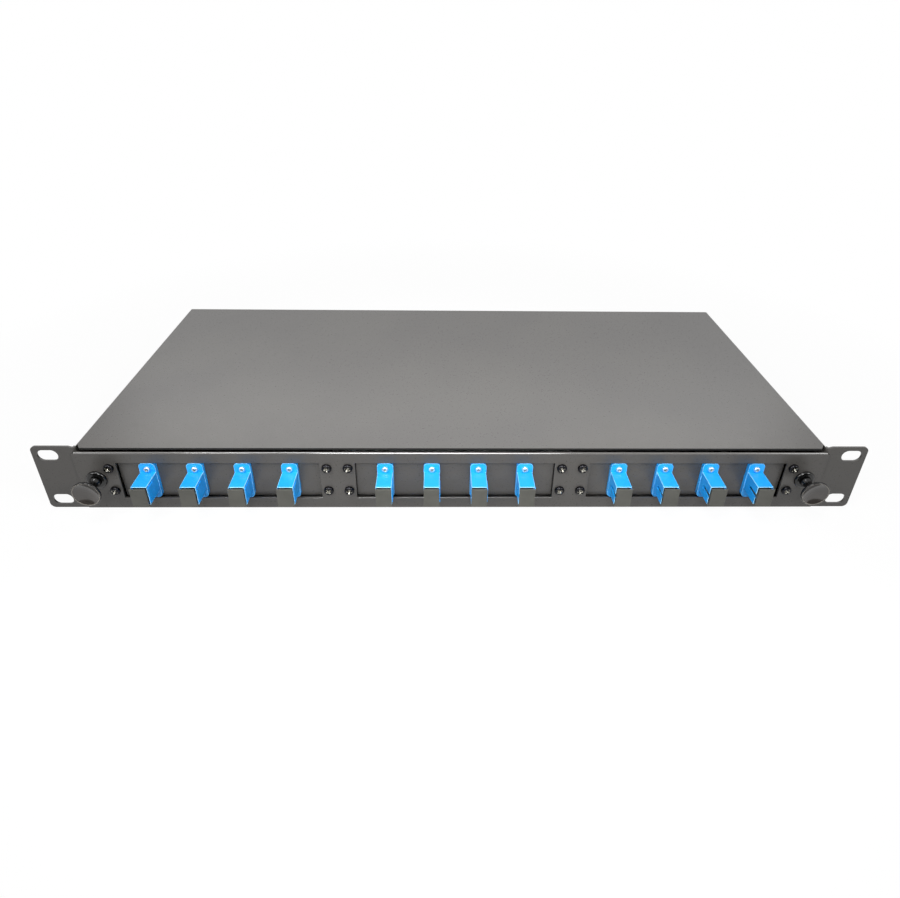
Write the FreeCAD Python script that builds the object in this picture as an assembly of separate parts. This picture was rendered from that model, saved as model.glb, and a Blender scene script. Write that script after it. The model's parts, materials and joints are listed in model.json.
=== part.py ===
import FreeCAD, Part
import math
import os

# A one-unit 19-inch optical distribution frame with a sliding drawer.
# Millimetres. X runs across the rack, Y from the front to the back, Z up.
# The origin is the centre of the four ear slots, on the front face of the ears.
# Widths are added up from the adapters outwards, and come to the rack standard:
# 482.6 over the ears, 465.1 between the slots and 435 over the sleeve.

V = FreeCAD.Vector
FRONT = V(0, -1, 0)
BACK = V(0, 1, 0)
TINY = 1e-4
OVER = 1.0  # how far a cutting tool runs past the face that it cuts

# Folded sheet
SHEET = 1.2
BEND_IN = 0.6
BEND_OUT = BEND_IN + SHEET
FOLD_RUN = 3.0  # flat of a cross fold, in front of its bend
CORNER_GAP = 0.3  # open corner between two folded walls

# Rows of adapters
PLATES = 3
PER_PLATE = 4
ADAPTER_PITCH = 27.2
ADAPTER_Z = -1.2
WINDOW_END = 17.4  # from the last adapter's axis to the end of its window
WINDOW_GAP = 0.4  # above and below an adapter's flange
PLATE_TRIM = 0.1  # the plate's field inside the outline of its window
PLATE_SCREW_OUT = 4.2  # from the end of the window to the screws
PLATE_SCREW_SPACING = 16.2
PLATE_EDGE = 3.2  # from the screws to the end of the plate
PLATE_SPACE = 5.8  # between neighbouring plates
PLATE_SET = 1.6  # dark gap between the panel's back and the plate's field
FOOT_SET = 5.0  # the plate's two feet lie this far behind its field
CUT_GAP = 0.2  # around an adapter's body in its plate

# Flanged adapter for one plug on each side
BODY_WIDTH = 9.0
BODY_HEIGHT = 12.5
BODY_FRONT = 14.1  # in front of the flange
BODY_REAR = 13.5  # behind the plate's front face
FLANGE_LIP = 0.2
FLANGE_THICK = 2.6
FLANGE_CORNER = 1.1
FLANGE_SCREW_SPACING = 16.8
FLANGE_END = 3.9  # from a flange screw to the end of the flange
MOUTH_WALL = 0.55
MOUTH_DEPTH = 4.0
SOCKET_SIDE = 0.7
SOCKET_END = 1.6
MID_WALL = 3.0
KEY_HEIGHT = 2.2
KEY_LENGTH = 9.0
PAD_THICK = 0.4  # raised pad on the side opposite the keyway
PAD_LENGTH = 8.0
PAD_EDGE = 1.4

# Dust caps: a plate on a plug, with a groove between plate and housing for a fingernail
CAP_GAP = 0.2
CAP_INSET = 0.3  # the plate's edge inside the outline of the housing
CAP_STAND = 1.5  # the groove, between the housing and the plate
CAP_PLATE = 0.8
CAP_PLUG = 3.5  # the plug past the mouth, in the socket

# Screws, drawn by their heads, with flat sides to stay light, and hexagonal standoffs
SCREW_SIDES = 6
STANDOFF_SIDES = 6
M2_HEAD = 3.6
M2_HEAD_HEIGHT = 1.3
M3_HEAD = 5.8
M3_HEAD_HEIGHT = 1.9
STANDOFF_WIDTH = 5.5

# Drawer front
PANEL = 1.2
PANEL_GAP = 0.2  # between the panel and the ears
PANEL_LAP = 0.2  # how far the panel covers the flat of an ear
PANEL_FOOT = 0.8  # the panel's lower edge above that of the ears
LIP_GAP = 1.2  # between the panel's top edge and the underside of the sleeve
LIP_ROUND = 1.0
LIP_SIDE = 0.5

# Latches: a nylon grommet in the panel, and a plunger that spreads it behind a keeper
KEEPER_CLEAR = 0.8  # from the last plate to the keeper
LATCH_EDGE = 4.6  # from the keeper's edge to the latch
LATCH_TO_WALL = 8.3  # from the latch to the inside of the sleeve
LATCH_Z = 0.0
LATCH_TRAVEL = 6.0
KEEPER_HALF = 8.2
KEEPER_SET = 0.3  # behind the panel
KEEPER_LEG = 14.0
LEG_RADIUS = 3.2
LEG_GAP = 0.1
LEG_TAIL = 3.0  # the grommet's legs past the keeper
LEG_SLIT = 0.8
KEEPER_GAP = 0.3
COLLAR_RADIUS = 5.9
COLLAR_THICK = 2.0
SHAFT_RADIUS = 1.8
SHAFT_GAP = 0.05
NECK_RADIUS = 3.1
NECK_GAP = 0.3  # between the neck's shoulder and the collar
NECK_LENGTH = 8.7
HEAD_RADIUS = 8.2
HEAD_THICK = 3.2
HEAD_BACK = 1.5  # depth of the hub behind the head's disc
HUB_RADIUS = 5.4
HEAD_EDGE = 1.4  # width of the rim round the dish
DISH_DEPTH = 1.2

# Sleeve and ears
EAR_REACH = 23.8
EAR_HEIGHT = 44.0
EAR_CORNER = 3.0
EAR_SLOPE_RUN = 3.6
EAR_SLOPE_DROP = 1.2
SLOT_INSET = 8.75
SLOT_SPACING_Z = 31.75
SLOT_LENGTH = 11.8
SLOT_WIDTH = 7.4
SLEEVE_DEPTH = 200.0
TOP_DROP = 0.8  # the sleeve's top below that of the ears
NOTCH_WIDTH = 2.8
NOTCH_DEPTH = 4.0

# Floor of the sleeve, with a channel on each side that guides the drawer
GLIDE = 0.3  # between the drawer and the floor
RETURN_LIFT = 0.4  # from the channel's top to the keeper
RETURN_GAP = 0.5  # between the channel's top and the drawer's wall
RETURN_LAP = 1.6  # the channel's top past the drawer's wall
LUG_ROOM = 3.7  # between the drawer's wall and the channel's side
LUG_REACH = 3.0
LUG_HEIGHT = 5.0
LUG_INSET = 22.5  # from the drawer's back to the stop lugs
STOP_SET = 2.0
STOP_REACH = 3.0
FLOOR_SCREWS = 3  # on each side
FLOOR_SCREW_INSET = 25.0
REAR_SCREW_X = 75.0
REAR_FLANGE_SIDE = 4.0  # between the floor's rear flange and its channels
REAR_FLANGE_GAP = 0.6  # between the floor's rear flange and the cable entries

# Drawer tray
REAR_SPACE = 22.8  # between the drawer and the sleeve's back
WELD_GAP = 2.4  # between the tray's front flange and the plates
REAR_PASS = 22.0  # from a cable entry's axis to the end of the tray's back wall

# Splice tray with its lid
SPLICE_WIDTH = 170.0
SPLICE_DEPTH = 110.0
SPLICE_HEIGHT = 10.0
SPLICE_WALL = 1.6
SPLICE_CORNER = 28.0
SPLICE_LID = 1.6
SPLICE_BOSS = 8.0
SPLICE_BOSS_INSET = 12.0
SPLICE_GATE = 16.0  # width of the gates that let fibre in
SPLICE_GATE_X = 48.0
RIBS = 7
RIB_PITCH = 6.0
RIB_THICK = 1.4
RIB_LENGTH = 32.0
RIB_HEIGHT = 5.5

# Clips that lead fibre round the drawer
CLIP_LENGTH = 12.0
CLIP_WIDTH = 14.0
CLIP_HEIGHT = 11.0
CLIP_WALL = 1.6
CLIP_MOUTH = 3.0
CLIP_SIDE = 30.0  # from the drawer's side to a clip
CLIP_END = 24.0  # from the adapters, or the drawer's back, to a clip

# Snap-in cable bushings at the back
ENTRY_SIDE = 67.5  # from the sleeve's side to a cable entry
ENTRY_Z = 0.0
ENTRY_RADIUS = 12.5
ENTRY_GAP = 0.2
BUSHING_LIP = 3.0
BUSHING_OUTSIDE = 3.2
BUSHING_INSIDE = 6.0
BUSHING_WALL = 1.8

# Places across the rack, worked out from the middle to the ears
row_half = (PER_PLATE - 1) / 2 * ADAPTER_PITCH
window_half = row_half + WINDOW_END
plate_field = window_half - PLATE_TRIM
plate_screw_x = window_half + PLATE_SCREW_OUT
plate_half = plate_screw_x + PLATE_EDGE
plate_pitch = 2 * plate_half + PLATE_SPACE
keeper_in = (PLATES - 1) / 2 * plate_pitch + plate_half + KEEPER_CLEAR
latch_x = keeper_in + LATCH_EDGE
wall_in = latch_x + LATCH_TO_WALL
wall_out = wall_in + SHEET
rack_half = wall_out + EAR_REACH
slot_x = rack_half - SLOT_INSET
panel_half = wall_out + BEND_IN + PANEL_LAP
lip_half = wall_out - LIP_SIDE
channel_in = wall_in - SHEET
tray_half = channel_in - LUG_ROOM
tray_inner = tray_half - SHEET
return_in = tray_inner - RETURN_LAP
entry_x = wall_out - ENTRY_SIDE

# Places from the front to the back
panel_back = -PANEL_GAP
panel_front = panel_back - PANEL
plate_front = panel_back + PLATE_SET
plate_back = plate_front + SHEET
foot_front = plate_front + FOOT_SET
foot_back = foot_front + SHEET
flange_front = plate_front - FLANGE_THICK
body_front = flange_front - BODY_FRONT
body_rear = plate_front + BODY_REAR
keeper_front = panel_back + KEEPER_SET
keeper_back = keeper_front + SHEET
rear_out = SLEEVE_DEPTH
rear_in = rear_out - SHEET
tray_back = rear_in - REAR_SPACE
lug_y = tray_back - LUG_INSET
stop_back = STOP_SET + SHEET
splice_y = (body_rear + tray_back - SHEET) / 2

# Heights
ear_top = EAR_HEIGHT / 2
base = -ear_top
box_top = ear_top - TOP_DROP
box_ceiling = box_top - SHEET
floor_top = base + SHEET
return_top = LATCH_Z - KEEPER_HALF - RETURN_LIFT
return_under = return_top - SHEET
tray_bottom = floor_top + GLIDE
tray_floor = tray_bottom + SHEET
tray_top = return_under - RETURN_GAP
panel_bottom = base + PANEL_FOOT
lip_top = box_ceiling - LIP_GAP
flange_half = FLANGE_SCREW_SPACING / 2 + FLANGE_END
window_low = ADAPTER_Z - flange_half - WINDOW_GAP
window_high = ADAPTER_Z + flange_half + WINDOW_GAP
plate_low = window_low + PLATE_TRIM
plate_high = window_high - PLATE_TRIM
weld_top = plate_low - WELD_GAP
floor_screw_z = (floor_top + return_under) / 2
rear_flange_top = ENTRY_Z - ENTRY_RADIUS - REAR_FLANGE_GAP
rear_screw_z = (floor_top + rear_flange_top) / 2
lug_z = (tray_floor + tray_top) / 2
splice_top = tray_floor + SPLICE_HEIGHT

plate_xs = [(i - (PLATES - 1) / 2) * plate_pitch for i in range(PLATES)]
adapter_offsets = [(i - (PER_PLATE - 1) / 2) * ADAPTER_PITCH for i in range(PER_PLATE)]
adapter_xs = [x + offset for x in plate_xs for offset in adapter_offsets]
plate_screw_zs = [-PLATE_SCREW_SPACING / 2, PLATE_SCREW_SPACING / 2]
flange_screw_zs = [ADAPTER_Z - FLANGE_SCREW_SPACING / 2, ADAPTER_Z + FLANGE_SCREW_SPACING / 2]
floor_screw_step = (SLEEVE_DEPTH - 2 * FLOOR_SCREW_INSET) / (FLOOR_SCREWS - 1)
floor_screw_ys = [FLOOR_SCREW_INSET + i * floor_screw_step for i in range(FLOOR_SCREWS)]


def box(x0, x1, y0, y1, z0, z1):
    """A block between two places on each axis, given in any order."""
    corner = V(min(x0, x1), min(y0, y1), min(z0, z1))
    return Part.makeBox(abs(x1 - x0), abs(y1 - y0), abs(z1 - z0), corner)


def on_axis(half_width, half_height, y0, y1):
    """A block round the axis of the adapter at X = 0."""
    return box(-half_width, half_width, y0, y1, ADAPTER_Z - half_height, ADAPTER_Z + half_height)


def split_axes(axis):
    """The number of an axis given by its letter, and those of the other two."""
    along = "XYZ".index(axis)
    return along, [i for i in range(3) if i != along]


def prism(points, axis, start, end):
    """Extrude an outline of (first, second) coordinates along an axis."""
    along, others = split_axes(axis)
    corners = []
    for point in points:
        corner = V(0, 0, 0)
        corner[others[0]] = point[0]
        corner[others[1]] = point[1]
        corner[along] = start
        corners.append(corner)
    run = V(0, 0, 0)
    run[along] = end - start
    face = Part.Face(Part.makePolygon(corners + corners[:1]))
    return face.extrude(run)


def edges_at(solid, axis, spots):
    """The straight edges along an axis that pass through the given spots."""
    along, others = split_axes(axis)
    found = []
    for edge in solid.Edges:
        start, end = edge.Vertexes[0].Point, edge.Vertexes[-1].Point
        if abs(abs(end[along] - start[along]) - edge.Length) > TINY:
            continue
        for spot in spots:
            if all(abs(start[i] - place) < TINY for i, place in zip(others, spot)):
                found.append(edge)
    return found


def rounded(solid, axis, spots, radius):
    return solid.makeFillet(radius, edges_at(solid, axis, spots))


def turned(profile, place, direction):
    """Turn a closed outline of (radius, distance) points about a line."""
    corners = [V(radius, 0, distance) for radius, distance in profile]
    face = Part.Face(Part.makePolygon(corners + corners[:1]))
    solid = face.revolve(V(0, 0, 0), V(0, 0, 1), 360)
    if solid.Volume < 0:
        solid.reverse()
    solid.Placement = FreeCAD.Placement(place, FreeCAD.Rotation(V(0, 0, 1), direction))
    return solid


def drill(radius, x, z, y0, y1):
    """A round tool along Y."""
    return Part.makeCylinder(radius, y1 - y0, V(x, y0, z), BACK)


def prism_bar(sides, width, height, place, direction):
    """A bar with flat sides, by its width across them, for a standoff or a screw head."""
    corner_radius = width / 2 / math.cos(math.pi / sides)
    first = V(corner_radius, 0, 0)
    corners = [FreeCAD.Rotation(V(0, 0, 1), 360 * i / sides) * first for i in range(sides)]
    solid = Part.Face(Part.makePolygon(corners + corners[:1])).extrude(V(0, 0, height))
    solid.Placement = FreeCAD.Placement(place, FreeCAD.Rotation(V(0, 0, 1), direction))
    return solid


def m3_head(place, direction):
    return prism_bar(SCREW_SIDES, M3_HEAD, M3_HEAD_HEIGHT, place, direction)


def folded(outline, axis, start, end, outside, inside):
    """A folded strip: an outline with its outer and inner corners bent."""
    strip = prism(outline, axis, start, end)
    strip = rounded(strip, axis, outside, BEND_OUT)
    return rounded(strip, axis, inside, BEND_IN)


def mirrored(solid):
    return solid.mirror(V(0, 0, 0), V(1, 0, 0))


def both_sides(solid):
    return [mirrored(solid), solid]


def cut_all(solid, tools):
    return solid.cut(Part.makeCompound(tools))


def sleeve_shell():
    """Top, sides and ears, folded from one sheet."""
    channel = folded(
        [
            (-wall_out, base),
            (-wall_out, box_top),
            (wall_out, box_top),
            (wall_out, base),
            (wall_in, base),
            (wall_in, box_ceiling),
            (-wall_in, box_ceiling),
            (-wall_in, base),
        ],
        "Y",
        0,
        rear_out,
        [(-wall_out, box_top), (wall_out, box_top)],
        [(-wall_in, box_ceiling), (wall_in, box_ceiling)],
    )
    notch = prism(
        [
            (wall_in - NOTCH_WIDTH, -OVER),
            (wall_in, -OVER),
            (wall_in, NOTCH_DEPTH),
            (wall_in - NOTCH_WIDTH, 0),
        ],
        "Z",
        box_top - BEND_OUT,
        box_top + OVER,
    )
    ear_room = box(wall_in - TINY, wall_out + OVER, -OVER, BEND_OUT, base - OVER, box_top + OVER)
    channel = cut_all(channel, both_sides(notch) + both_sides(ear_room))
    return channel.fuse(both_sides(rack_ear())).removeSplitter()


def rear_plate():
    """Back wall of the sleeve, with two round cable entries."""
    half = wall_in - CORNER_GAP
    plate = box(-half, half, rear_in, rear_out, base, box_ceiling - CORNER_GAP)
    entry = drill(ENTRY_RADIUS, entry_x, ENTRY_Z, rear_in - OVER, rear_out + OVER)
    return cut_all(plate, both_sides(entry))


def rack_ear():
    """The right ear, folded out of the side wall, with its two slots."""
    fold_end = BEND_OUT + BEND_IN
    ear = folded(
        [
            (wall_in, 0),
            (rack_half, 0),
            (rack_half, SHEET),
            (wall_out, SHEET),
            (wall_out, fold_end),
            (wall_in, fold_end),
        ],
        "Z",
        base,
        ear_top,
        [(wall_in, 0)],
        [(wall_out, SHEET)],
    )
    ear = rounded(ear, "Y", [(rack_half, base), (rack_half, ear_top)], EAR_CORNER)
    slope = prism(
        [
            (wall_in - OVER, ear_top - EAR_SLOPE_DROP),
            (wall_in, ear_top - EAR_SLOPE_DROP),
            (wall_in + EAR_SLOPE_RUN, ear_top),
            (wall_in + EAR_SLOPE_RUN, ear_top + OVER),
            (wall_in - OVER, ear_top + OVER),
        ],
        "Y",
        -OVER,
        fold_end + OVER,
    )
    half_run = (SLOT_LENGTH - SLOT_WIDTH) / 2
    tools = [slope]
    for z in (-SLOT_SPACING_Z / 2, SLOT_SPACING_Z / 2):
        low, high = z - SLOT_WIDTH / 2, z + SLOT_WIDTH / 2
        middle = box(slot_x - half_run, slot_x + half_run, -OVER, SHEET + OVER, low, high)
        places = (slot_x - half_run, slot_x + half_run)
        ends = [drill(SLOT_WIDTH / 2, x, z, -OVER, SHEET + OVER) for x in places]
        tools.append(middle.fuse(ends).removeSplitter())
    return cut_all(ear, tools)


def floor_plate():
    """Floor of the sleeve: its folded sides guide the drawer, tabs in front stop it."""
    outside, inside = [], []
    for side in (-1, 1):
        outside += [(side * wall_in, base), (side * wall_in, return_top)]
        inside += [(side * channel_in, floor_top), (side * channel_in, return_under)]
    channel = folded(
        [
            (-wall_in, base),
            (wall_in, base),
            (wall_in, return_top),
            (return_in, return_top),
            (return_in, return_under),
            (channel_in, return_under),
            (channel_in, floor_top),
            (-channel_in, floor_top),
            (-channel_in, return_under),
            (-return_in, return_under),
            (-return_in, return_top),
            (-wall_in, return_top),
        ],
        "Y",
        0,
        rear_in,
        outside,
        inside,
    )
    flange_half_width = return_in - REAR_FLANGE_SIDE
    fold_start, flange_in = rear_in - FOLD_RUN, rear_in - SHEET
    rear_flange = folded(
        [
            (fold_start, base),
            (rear_in, base),
            (rear_in, rear_flange_top),
            (flange_in, rear_flange_top),
            (flange_in, floor_top),
            (fold_start, floor_top),
        ],
        "X",
        -flange_half_width,
        flange_half_width,
        [(rear_in, base)],
        [(flange_in, floor_top)],
    )
    room_half = flange_half_width + CORNER_GAP
    fold_room = box(-room_half, room_half, fold_start, rear_in + OVER, base - OVER, floor_top + OVER)
    tab_in, tab_out = channel_in - STOP_REACH, channel_in + SHEET / 2
    tab = box(tab_in, tab_out, STOP_SET, stop_back, base + SHEET / 2, return_under)
    return channel.cut(fold_room).fuse([rear_flange] + both_sides(tab)).removeSplitter()


def floor_screws():
    """Heads of the screws that hold the floor in the sleeve, at the sides and the back."""
    heads = both_sides(m3_head(V(REAR_SCREW_X, rear_out, rear_screw_z), BACK))
    for y in floor_screw_ys:
        heads += both_sides(m3_head(V(wall_out, y, floor_screw_z), V(1, 0, 0)))
    return Part.makeCompound(heads)


def latch_keeper():
    """Bracket on the right wall of the sleeve that the latch holds on to."""
    leg_end = keeper_front + KEEPER_LEG
    keeper = folded(
        [
            (keeper_in, keeper_front),
            (wall_in, keeper_front),
            (wall_in, leg_end),
            (channel_in, leg_end),
            (channel_in, keeper_back),
            (keeper_in, keeper_back),
        ],
        "Z",
        LATCH_Z - KEEPER_HALF,
        LATCH_Z + KEEPER_HALF,
        [(wall_in, keeper_front)],
        [(channel_in, keeper_back)],
    )
    hole_radius = LEG_RADIUS + KEEPER_GAP
    return keeper.cut(drill(hole_radius, latch_x, LATCH_Z, keeper_front - OVER, keeper_back + OVER))


def front_panel():
    """The drawer's front with its rounded top edge, three windows and two latch holes."""
    panel = box(-panel_half, panel_half, panel_front, panel_back, panel_bottom, lip_top)
    panel = rounded(panel, "X", [(panel_front, lip_top)], LIP_ROUND)
    past_front, past_back = panel_front - OVER, panel_back + OVER
    lip_corner = box(
        lip_half, panel_half + OVER, past_front, past_back, lip_top - LIP_ROUND, lip_top + OVER
    )
    tools = both_sides(lip_corner)
    for x in plate_xs:
        left, right = x - window_half, x + window_half
        tools.append(box(left, right, past_front, past_back, window_low, window_high))
    tools += both_sides(drill(LEG_RADIUS + LEG_GAP, latch_x, LATCH_Z, past_front, past_back))
    return cut_all(panel, tools)


def drawer_tray():
    """Folded tray behind the panel, with stop lugs and a cable pass at each end of its back."""
    channel = folded(
        [
            (-tray_half, tray_top),
            (-tray_half, tray_bottom),
            (tray_half, tray_bottom),
            (tray_half, tray_top),
            (tray_inner, tray_top),
            (tray_inner, tray_floor),
            (-tray_inner, tray_floor),
            (-tray_inner, tray_top),
        ],
        "Y",
        panel_back,
        tray_back,
        [(-tray_half, tray_bottom), (tray_half, tray_bottom)],
        [(-tray_inner, tray_floor), (tray_inner, tray_floor)],
    )
    walls, rooms = [], []
    for face, inward, top, reach in (
        (panel_back, 1, weld_top, tray_inner - CORNER_GAP),
        (tray_back, -1, tray_top, entry_x - REAR_PASS),
    ):
        flat, inner, past = face + inward * FOLD_RUN, face + inward * SHEET, face - inward * OVER
        outline = [
            (face, top),
            (face, tray_bottom),
            (flat, tray_bottom),
            (flat, tray_floor),
            (inner, tray_floor),
            (inner, top),
        ]
        walls.append(folded(outline, "X", -reach, reach, [(face, tray_bottom)], [(inner, tray_floor)]))
        room = reach + CORNER_GAP
        low, high = min(past, flat), max(past, flat)
        rooms.append(box(-room, room, low, high, tray_bottom - OVER, tray_floor + OVER))
    lug_low, lug_high = lug_z - LUG_HEIGHT / 2, lug_z + LUG_HEIGHT / 2
    lug = box(tray_inner, tray_half + LUG_REACH, lug_y, lug_y + SHEET, lug_low, lug_high)
    return cut_all(channel, rooms).fuse(walls + both_sides(lug)).removeSplitter()


def adapter_plate(x):
    """Plate for one row of adapters: its ends fold back to two feet behind the panel."""
    inner = plate_field - SHEET
    outline = [
        (-plate_half, foot_front),
        (-plate_field, foot_front),
        (-plate_field, plate_front),
        (plate_field, plate_front),
        (plate_field, foot_front),
        (plate_half, foot_front),
        (plate_half, foot_back),
        (inner, foot_back),
        (inner, plate_back),
        (-inner, plate_back),
        (-inner, foot_back),
        (-plate_half, foot_back),
    ]
    plate = prism(outline, "Z", plate_low, plate_high)
    half_width, half_height = BODY_WIDTH / 2 + CUT_GAP, BODY_HEIGHT / 2 + CUT_GAP
    cut_out = on_axis(half_width, half_height, plate_front - OVER, plate_back + OVER)
    cut_outs = [at_x(cut_out, offset) for offset in adapter_offsets]
    return at_x(cut_all(plate, cut_outs), x)


def plate_screw_places(y):
    offsets = (-plate_screw_x, plate_screw_x)
    return [V(x + offset, y, z) for x in plate_xs for offset in offsets for z in plate_screw_zs]


def plate_screws():
    """Heads of the screws that hold the three plates to the panel."""
    return Part.makeCompound([m3_head(place, FRONT) for place in plate_screw_places(panel_front)])


def plate_standoffs():
    """Hexagonal standoffs between the panel's back and the feet of the plates."""
    length = foot_front - panel_back
    places = plate_screw_places(panel_back)
    return Part.makeCompound(
        [prism_bar(STANDOFF_SIDES, STANDOFF_WIDTH, length, place, BACK) for place in places]
    )


def adapter():
    """Moulded adapter body at X = 0: flange, two plug sockets, keyways on its left side."""
    half_width, half_height = BODY_WIDTH / 2, BODY_HEIGHT / 2
    body = on_axis(half_width, half_height, body_front, body_rear)
    flange_side = half_width + FLANGE_LIP
    flange = on_axis(flange_side, flange_half, flange_front, plate_front)
    ends = (ADAPTER_Z - flange_half, ADAPTER_Z + flange_half)
    corners = [(side, end) for side in (-flange_side, flange_side) for end in ends]
    flange = flange.makeChamfer(FLANGE_CORNER, edges_at(flange, "Y", corners))
    pad_low, pad_high = ADAPTER_Z - half_height + PAD_EDGE, ADAPTER_Z + half_height - PAD_EDGE
    pad_back = body_front + PAD_LENGTH
    pad = box(half_width, half_width + PAD_THICK, body_front, pad_back, pad_low, pad_high)
    housing = body.fuse([flange, pad]).removeSplitter()
    mouth_side, mouth_end = half_width - MOUTH_WALL, half_height - MOUTH_WALL
    socket_side, socket_end = half_width - SOCKET_SIDE, half_height - SOCKET_END
    key_out, key_in = -half_width - OVER, -socket_side + TINY
    key_low, key_high = ADAPTER_Z - KEY_HEIGHT / 2, ADAPTER_Z + KEY_HEIGHT / 2
    middle = (body_front + body_rear) / 2
    tools = []
    for face, inward in ((body_front, 1), (body_rear, -1)):
        past = face - inward * OVER
        bottom = middle - inward * MID_WALL / 2
        tools.append(on_axis(mouth_side, mouth_end, past, face + inward * MOUTH_DEPTH))
        tools.append(on_axis(socket_side, socket_end, past, bottom))
        tools.append(box(key_out, key_in, past, face + inward * KEY_LENGTH, key_low, key_high))
    return cut_all(housing, tools)


def dust_cap(face, inward):
    """A cap at X = 0: a plate in front of an adapter's mouth, on a plug in its socket."""
    half_width, half_height = BODY_WIDTH / 2, BODY_HEIGHT / 2
    plate_in = face - inward * CAP_STAND
    plate_out = plate_in - inward * CAP_PLATE
    plug_end = face + inward * (MOUTH_DEPTH + CAP_PLUG)
    plug_width, plug_height = half_width - SOCKET_SIDE - CAP_GAP, half_height - SOCKET_END - CAP_GAP
    plate = on_axis(half_width - CAP_INSET, half_height - CAP_INSET, plate_out, plate_in)
    plug = on_axis(plug_width, plug_height, plate_in, plug_end)
    return plate.fuse(plug).removeSplitter()


def at_x(solid, x):
    copy = solid.copy()
    copy.translate(V(x, 0, 0))
    return copy


def flange_screws():
    """Heads of the small screws, two to an adapter."""
    places = [V(x, flange_front, z) for x in adapter_xs for z in flange_screw_zs]
    return Part.makeCompound(
        [prism_bar(SCREW_SIDES, M2_HEAD, M2_HEAD_HEIGHT, place, FRONT) for place in places]
    )


def latch_grommet():
    """Split nylon grommet of the right latch: a collar on the panel, legs through the keeper."""
    reach = keeper_back + LEG_TAIL - panel_front
    bore = SHAFT_RADIUS + SHAFT_GAP
    profile = [
        (bore, -reach),
        (LEG_RADIUS, -reach),
        (LEG_RADIUS, 0),
        (COLLAR_RADIUS, 0),
        (COLLAR_RADIUS, COLLAR_THICK),
        (bore, COLLAR_THICK),
    ]
    grommet = turned(profile, V(latch_x, panel_front, LATCH_Z), FRONT)
    half, wide = LEG_SLIT / 2, LEG_RADIUS + OVER
    left, right, end = latch_x - half, latch_x + half, panel_front + reach + OVER
    return grommet.cut(box(left, right, panel_back, end, LATCH_Z - wide, LATCH_Z + wide))


def latch_plunger():
    """Plunger of the right latch: shaft, neck and dished mushroom head."""
    reach = keeper_back + LEG_TAIL - panel_front
    neck_start = COLLAR_THICK + NECK_GAP
    neck_end = neck_start + NECK_LENGTH
    face = neck_end + HEAD_THICK
    dish_radius, dish = HEAD_RADIUS - HEAD_EDGE, face - DISH_DEPTH
    profile = [
        (0, -reach),
        (SHAFT_RADIUS, -reach),
        (SHAFT_RADIUS, neck_start),
        (NECK_RADIUS, neck_start),
        (NECK_RADIUS, neck_end),
        (HUB_RADIUS, neck_end),
        (HUB_RADIUS, neck_end + HEAD_BACK),
        (HEAD_RADIUS, neck_end + HEAD_BACK),
        (HEAD_RADIUS, face),
        (dish_radius, face),
        (dish_radius, dish),
        (0, dish),
    ]
    return turned(profile, V(latch_x, panel_front, LATCH_Z), FRONT)


def splice_boss_ys():
    reach = SPLICE_DEPTH / 2 - SPLICE_BOSS_INSET
    return [splice_y - reach, splice_y + reach]


def splice_block(inset, z0, z1):
    """The splice tray's rounded outline, taken in by an inset."""
    half_width, half_depth = SPLICE_WIDTH / 2 - inset, SPLICE_DEPTH / 2 - inset
    ys = (splice_y - half_depth, splice_y + half_depth)
    block = box(-half_width, half_width, *ys, z0, z1)
    corners = [(x, y) for x in (-half_width, half_width) for y in ys]
    return rounded(block, "Z", corners, SPLICE_CORNER - inset)


def splice_tray():
    """Moulded tray with a comb that holds the splices and two screw bosses."""
    tray = splice_block(0, tray_floor, splice_top)
    tray_inside = tray_floor + SPLICE_WALL
    tray = tray.cut(splice_block(SPLICE_WALL, tray_inside, splice_top + OVER))
    gates = []
    half_gate = SPLICE_GATE / 2
    for x in (-SPLICE_GATE_X, SPLICE_GATE_X):
        low_y, high_y = splice_y - SPLICE_DEPTH / 2 - OVER, splice_y + SPLICE_DEPTH / 2 + OVER
        gates.append(box(x - half_gate, x + half_gate, low_y, high_y, tray_inside, splice_top + OVER))
    tray = cut_all(tray, gates)
    fittings = []
    half_rib, half_run, rib_top = RIB_THICK / 2, RIB_LENGTH / 2, tray_inside + RIB_HEIGHT
    for i in range(RIBS):
        y = splice_y + (i - (RIBS - 1) / 2) * RIB_PITCH
        fittings.append(box(-half_run, half_run, y - half_rib, y + half_rib, tray_floor, rib_top))
    half = SPLICE_BOSS / 2
    for y in splice_boss_ys():
        fittings.append(box(-half, half, y - half, y + half, tray_floor, splice_top))
    return tray.fuse(fittings).removeSplitter()


def splice_tray_lid():
    """Flat lid on the splice tray."""
    return splice_block(0, splice_top, splice_top + SPLICE_LID)


def splice_tray_screws():
    """Heads of the screws through the lid and the bosses into the drawer."""
    lid_top = splice_top + SPLICE_LID
    return Part.makeCompound([m3_head(V(0, y, lid_top), V(0, 0, 1)) for y in splice_boss_ys()])


def fibre_clip(x, y):
    """Square ring on the drawer's floor, open at the top, that fibre is laid in."""
    half, top = CLIP_WIDTH / 2, tray_floor + CLIP_HEIGHT
    y0, y1 = y - CLIP_LENGTH / 2, y + CLIP_LENGTH / 2
    ring = box(x - half, x + half, y0, y1, tray_floor, top)
    inner = half - CLIP_WALL
    hollow = box(x - inner, x + inner, y0 - OVER, y1 + OVER, tray_floor + CLIP_WALL, top - CLIP_WALL)
    mouth_half, mouth_low = CLIP_MOUTH / 2, top - CLIP_WALL - OVER
    mouth = box(x - mouth_half, x + mouth_half, y0 - OVER, y1 + OVER, mouth_low, top + OVER)
    return cut_all(ring, [hollow, mouth])


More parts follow.
